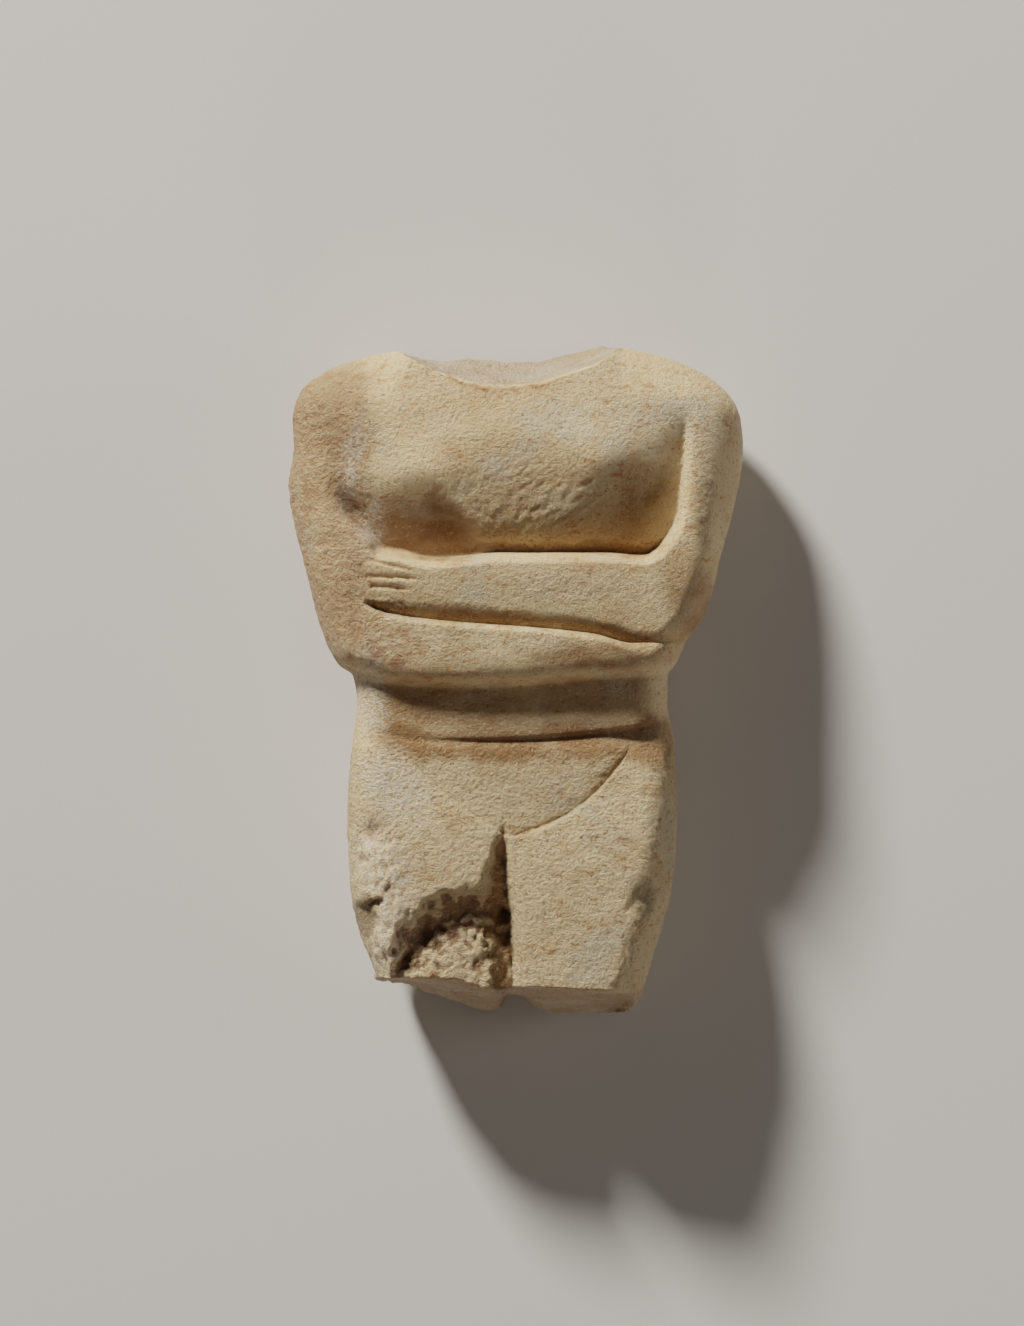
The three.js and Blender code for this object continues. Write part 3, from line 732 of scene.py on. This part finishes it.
def carve_torso():
    """Two sheets over one net, front and back, which share their outermost points. The plainer
    back uses every second point. Each point is then moved out by the relief along the sheet's
    normal, less near the flats it rests on."""
    x, y = net()
    around = surroundings(x, y)
    rim_high = around[-1]
    on_rim = np.zeros(x.shape, bool)
    on_rim[[0, -1], :] = True
    on_rim[:, [0, -1]] = True
    front = np.stack([x, y, np.where(on_rim, rim_high, front_height(x, y, around))], -1)
    back = np.stack([x, y, np.where(on_rim, rim_high, back_height(x, y, around))], -1)

    past = np.maximum(past_neck_break(x, y), past_leg_break(x, y))
    broken = np.where(past > 0, step(0.0, 0.12, past), 0)
    kinds = kinds_of_surface(front, broken)
    at_side = step(0.1, 0.95, back[..., 2] / rim_high)
    back_kinds = {name: share * at_side for name, share in kinds.items()}
    back_kinds["grained"] = mix(0.5, kinds["grained"], at_side)

    front_normals, back_normals = sheet_normals(front), -sheet_normals(back)
    edge = front_normals + back_normals
    edge /= np.maximum(np.linalg.norm(edge, axis=-1, keepdims=True), 1e-9)
    front_normals[on_rim] = back_normals[on_rim] = edge[on_rim]
    rough = relief(front, kinds)
    back_rough = np.where(on_rim, rough, relief(back, back_kinds) * step(0, 2, back[..., 2]))
    hollow = front[..., 2] - blurred(front[..., 2], 3) + rough - blurred(rough, 2)
    hollow = hollow * step(3, 9, front[..., 2] - rim_high)
    front = front + front_normals * rough[..., None]
    back = back + back_normals * back_rough[..., None]

    on_back = np.zeros(x.shape, bool)
    on_back[::2, ::2] = True
    on_back &= ~on_rim
    front_numbers = np.arange(x.size).reshape(x.shape)
    back_numbers = front_numbers.copy()
    back_numbers[on_back] = x.size + np.arange(on_back.sum())
    total = x.size + on_back.sum()
    n = front_numbers
    rim = np.concatenate([n[0, :-1], n[:-1, -1], n[-1, :0:-1], n[:0:-1, 0]])
    back_faces = meet_rim(sheet_faces(back_numbers[::2, ::2]), rim, total)[:, ::-1]
    places = np.concatenate([front.reshape(-1, 3), back[on_back]]) * MM
    faces = np.concatenate([sheet_faces(front_numbers), back_faces])
    marks = {
        name: np.concatenate([kinds[name].ravel(), back_kinds[name][on_back]]) for name in kinds
    }
    marks["hollow"] = np.concatenate([hollow.ravel(), np.zeros(on_back.sum())])
    return places, faces, marks


def stone_mesh(name, places, faces, marks):
    """A smooth mesh of the triangles, which carries each mark as a number at its points."""
    mesh = bpy.data.meshes.new(name)
    mesh.vertices.add(len(places))
    mesh.vertices.foreach_set("co", places.astype(np.float32).ravel())
    mesh.loops.add(faces.size)
    mesh.loops.foreach_set("vertex_index", faces.astype(np.int32).ravel())
    mesh.polygons.add(len(faces))
    mesh.polygons.foreach_set("loop_start", np.arange(0, faces.size, 3, dtype=np.int32))
    mesh.polygons.foreach_set("use_smooth", np.ones(len(faces), bool))
    mesh.update(calc_edges=True)
    for mark, values in marks.items():
        attribute = mesh.attributes.new(mark, "FLOAT", "POINT")
        attribute.data.foreach_set("value", values.astype(np.float32))
    mesh.validate()
    return mesh


# ---- finish ----------------------------------------------------------------------------------
def srgb(red, green, blue):
    """Linear colour from the usual 0 to 255 values."""
    channels = np.array([red, green, blue]) / 255
    linear = np.where(channels <= 0.04045, channels / 12.92, ((channels + 0.055) / 1.055) ** 2.4)
    return (*linear, 1.0)


class Finish:
    """A node material written as short steps, each of which adds one node and wires it up."""

    def __init__(self, name):
        self.material = bpy.data.materials.new(name)
        self.material.use_nodes = True
        self.tree = self.material.node_tree
        self.tree.nodes.clear()
        self.output = self.tree.nodes.new("ShaderNodeOutputMaterial")
        self.shader = self.tree.nodes.new("ShaderNodeBsdfPrincipled")
        self.tree.links.new(self.shader.outputs["BSDF"], self.output.inputs["Surface"])
        self.place = self.tree.nodes.new("ShaderNodeTexCoord").outputs["Object"]

    def wire(self, value, socket):
        if isinstance(value, bpy.types.NodeSocket):
            self.tree.links.new(value, socket)
        else:
            socket.default_value = value

    def math(self, operation, a, b=0.0, clamp=False):
        node = self.tree.nodes.new("ShaderNodeMath")
        node.operation = operation
        node.use_clamp = clamp
        self.wire(a, node.inputs[0])
        self.wire(b, node.inputs[1])
        return node.outputs[0]

    def span(self, value, low, high, to_low=0.0, to_high=1.0):
        node = self.tree.nodes.new("ShaderNodeMapRange")
        node.interpolation_type = "SMOOTHSTEP"
        self.wire(value, node.inputs["Value"])
        ends = {"From Min": low, "From Max": high, "To Min": to_low, "To Max": to_high}
        for socket, number in ends.items():
            node.inputs[socket].default_value = number
        return node.outputs["Result"]

    def noise(self, size, detail=4.0, roughness=0.55, stretch=(1, 1, 1), shift=0.0):
        """Noise whose swells are about that many millimetres across."""
        mapping = self.tree.nodes.new("ShaderNodeMapping")
        self.wire(self.place, mapping.inputs["Vector"])
        mapping.inputs["Scale"].default_value = stretch
        mapping.inputs["Location"].default_value = (shift, shift, shift)
        node = self.tree.nodes.new("ShaderNodeTexNoise")
        self.wire(mapping.outputs["Vector"], node.inputs["Vector"])
        node.inputs["Scale"].default_value = 1000 / size
        node.inputs["Detail"].default_value = detail
        node.inputs["Roughness"].default_value = roughness
        return node.outputs["Fac"]

    def mark(self, name):
        node = self.tree.nodes.new("ShaderNodeAttribute")
        node.attribute_name = name
        return node.outputs["Fac"]

    def tint(self, share, base, colour, how="MIX"):
        node = self.tree.nodes.new("ShaderNodeMix")
        node.data_type = "RGBA"
        node.blend_type = how
        self.wire(share, node.inputs["Factor"])
        self.wire(base, node.inputs[6])
        self.wire(colour, node.inputs[7])
        return node.outputs[2]

    def bump(self, height, strength, depth_mm, normal=None):
        node = self.tree.nodes.new("ShaderNodeBump")
        node.inputs["Strength"].default_value = strength
        node.inputs["Distance"].default_value = depth_mm * MM
        self.wire(height, node.inputs["Height"])
        if normal is not None:
            self.wire(normal, node.inputs["Normal"])
        return node.outputs["Normal"]


def weathered_marble():
    """Buff marble: cream stone clouded with grey and ochre, brown dirt and painted shade where it
    lies hollow, reddish flecks, white where crystals and salt show, and a coarse sugary grain."""
    finish = Finish("weathered marble")
    times, most = partial(finish.math, "MULTIPLY"), partial(finish.math, "MAXIMUM")
    clouds = finish.noise(24, 3, 0.5)
    drifts = finish.noise(10, 5, 0.62, (1, 1.5, 1), 0.4)
    streaks = finish.noise(3.2, 4, 0.65, (1, 2.2, 1), 0.9)
    grains = finish.noise(0.95, 4, 0.72, shift=1.7)
    specks = finish.noise(0.7, 2, 0.5, shift=2.9)
    broken, pitted, salt = finish.mark("broken"), finish.mark("pitted"), finish.mark("salt")
    spalled, soil_and_painted_shade, hollow = finish.mark("spalled"), finish.mark("soil_and_painted_shade"), finish.mark("hollow")
    weathered, grained = finish.mark("weathered"), finish.mark("grained")

    colour = finish.tint(finish.span(clouds, 0.40, 0.62), srgb(223, 199, 156), srgb(213, 184, 140))
    # lighter cream where the grain is worn: the stone's own cream, and partly painted light that
    # brightens the thighs and worn patches
    colour = finish.tint(times(grained, 0.6), colour, srgb(244, 220, 176))
    grey = finish.span(finish.noise(15, 4, 0.55, shift=2.3), 0.54, 0.68, 0.0, 0.55)
    colour = finish.tint(grey, colour, srgb(207, 197, 173))
    colour = finish.tint(finish.span(drifts, 0.48, 0.70, 0.0, 0.5), colour, srgb(200, 160, 112))
    flecks = times(finish.span(streaks, 0.54, 0.66), finish.span(drifts, 0.36, 0.6, 0.35, 1.0))
    colour = finish.tint(times(flecks, 0.75), colour, srgb(186, 126, 76))
    worn_arm = times(weathered, finish.span(streaks, 0.36, 0.58, 0.25, 0.8))
    colour = finish.tint(worn_arm, colour, srgb(190, 148, 108))
    # Painted shade: the spall's scarp turns dark brown where it lies hollow.
    scarp = times(spalled, finish.span(hollow, 0.06, -0.14, 0.15, 0.8))
    colour = finish.tint(scarp, colour, srgb(142, 98, 66))
    # brown tint: dirt, and painted shade in the hollows and under the breasts
    stain_and_shade = times(soil_and_painted_shade, finish.span(drifts, 0.3, 0.6, 0.55, 0.95))
    colour = finish.tint(stain_and_shade, colour, srgb(150, 110, 68))
    fresh = finish.tint(finish.span(drifts, 0.35, 0.6), srgb(222, 204, 178), srgb(206, 178, 148))
    colour = finish.tint(times(broken, 0.8), colour, fresh)
    white = most(times(pitted, 0.75), times(salt, 0.7))
    white = times(white, finish.span(grains, 0.42, 0.60, 0.15, 1.0))
    colour = finish.tint(white, colour, srgb(226, 217, 202))
    brown_hollows = times(most(pitted, weathered), finish.span(hollow, -0.04, -0.22))
    colour = finish.tint(times(brown_hollows, 0.4), colour, srgb(138, 92, 60))
    rust = times(finish.mark("rust"), finish.span(streaks, 0.40, 0.56, 0.1, 0.85))
    colour = finish.tint(rust, colour, srgb(166, 100, 58))
    # darker greenish brown on the chip facet and the dent: painted shade, with some staining
    colour = finish.tint(times(finish.mark("olive_and_painted_shade"), 0.75), colour, srgb(134, 118, 88))
    colour = finish.tint(finish.span(grains, 0.45, 0.32, 0.0, 0.7), colour, srgb(150, 108, 70))
    colour = finish.tint(finish.span(specks, 0.60, 0.72, 0.0, 0.3), colour, srgb(240, 232, 214))
    finish.wire(colour, finish.shader.inputs["Base Color"])

    finish.wire(finish.span(drifts, 0.3, 0.7, 0.55, 0.72), finish.shader.inputs["Roughness"])
    finish.shader.inputs["Specular IOR Level"].default_value = 0.3
    finish.shader.inputs["Diffuse Roughness"].default_value = 0.6
    finish.shader.inputs["Subsurface Weight"].default_value = 0.1
    finish.shader.inputs["Subsurface Radius"].default_value = (1.0, 0.7, 0.45)
    finish.shader.inputs["Subsurface Scale"].default_value = 0.0015

    coarse = most(most(grained, weathered), most(broken, finish.mark("tooled")))
    height = times(finish.math("SUBTRACT", grains, 0.5), finish.span(coarse, 0, 1, 0.35, 1.0))
    fine = finish.bump(finish.noise(0.55, 2, 0.5, shift=4.0), 0.8, 0.16)
    finish.wire(finish.bump(height, 1.0, 2.8, fine), finish.shader.inputs["Normal"])
    return finish.material


# ---- the studio ------------------------------------------------------------------------------
def pale_floor():
    """A plain floor, wide enough to fill every view."""
    bpy.ops.mesh.primitive_plane_add(size=6, location=(0, 0, 0))
    floor = bpy.context.object
    floor.name = "floor"
    material = bpy.data.materials.new("pale floor")
    material.use_nodes = True
    shader = material.node_tree.nodes["Principled BSDF"]
    shader.inputs["Base Color"].default_value = srgb(214, 212, 208)
    shader.inputs["Roughness"].default_value = 0.9
    floor.data.materials.append(material)
    floor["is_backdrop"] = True


TORSO_MIDDLE = 0.03  # height that the lamps and the camera are set for, in metres


def soft_lamp(name, bearing, height, distance_m, size_m, watts, colour):
    """An area lamp aimed at the torso. The bearing turns from +Y towards +X, and the height is
    its angle above the floor."""
    data = bpy.data.lights.new(name, "AREA")
    data.shape = "DISK"
    data.size = size_m
    data.energy = watts
    data.color = colour
    lamp = bpy.data.objects.new(name, data)
    turn, tilt = radians(bearing), radians(height)
    flat = cos(tilt) * distance_m
    up = sin(tilt) * distance_m + TORSO_MIDDLE
    lamp.location = (sin(turn) * flat, cos(turn) * flat, up)
    lamp.rotation_euler = (radians(90 - height), 0, radians(180 - bearing))
    bpy.context.collection.objects.link(lamp)


def studio():
    """A key lamp low at the upper left, a warm fill from the legs and a faint one at the side."""
    pale_floor()
    soft_lamp("key", -30, 24, 2.8, 0.5, 158, (1.0, 0.95, 0.89))
    soft_lamp("fill", 172, 12, 1.4, 0.5, 4.4, (1.0, 0.85, 0.72))
    soft_lamp("edge", 85, 10, 1.2, 0.4, 2.6, (1.0, 0.96, 0.91))
    world = bpy.data.worlds.new("dim room")
    world.use_nodes = True
    world.node_tree.nodes["Background"].inputs["Color"].default_value = (1.0, 0.98, 0.95, 1)
    world.node_tree.nodes["Background"].inputs["Strength"].default_value = 0.025
    bpy.context.scene.world = world
    bpy.context.scene.view_settings.view_transform = "Filmic"


def camera():
    """A long lens straight above, with the torso a little below the middle of the frame."""
    view_height = 1.5
    frame_height = 0.305
    data = bpy.data.cameras.new("camera")
    data.sensor_fit = "VERTICAL"
    data.sensor_height = 36
    data.lens = data.sensor_height * (view_height - TORSO_MIDDLE) / frame_height
    data.clip_end = 20
    eye = bpy.data.objects.new("camera", data)
    eye.location = (-0.0009, 0.0041, view_height)
    bpy.context.collection.objects.link(eye)
    bpy.context.scene.camera = eye


camera()
studio()
torso = bpy.data.objects.new("carved_torso", stone_mesh("carved_torso", *carve_torso()))
bpy.context.collection.objects.link(torso)
torso.data.materials.append(weathered_marble())
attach(torso, "root")
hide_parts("torso")

sizes = {"cad": cad_bounds, "visual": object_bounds()}
sizes = {name: [[float(v) for v in corner] for corner in corners] for name, corners in sizes.items()}
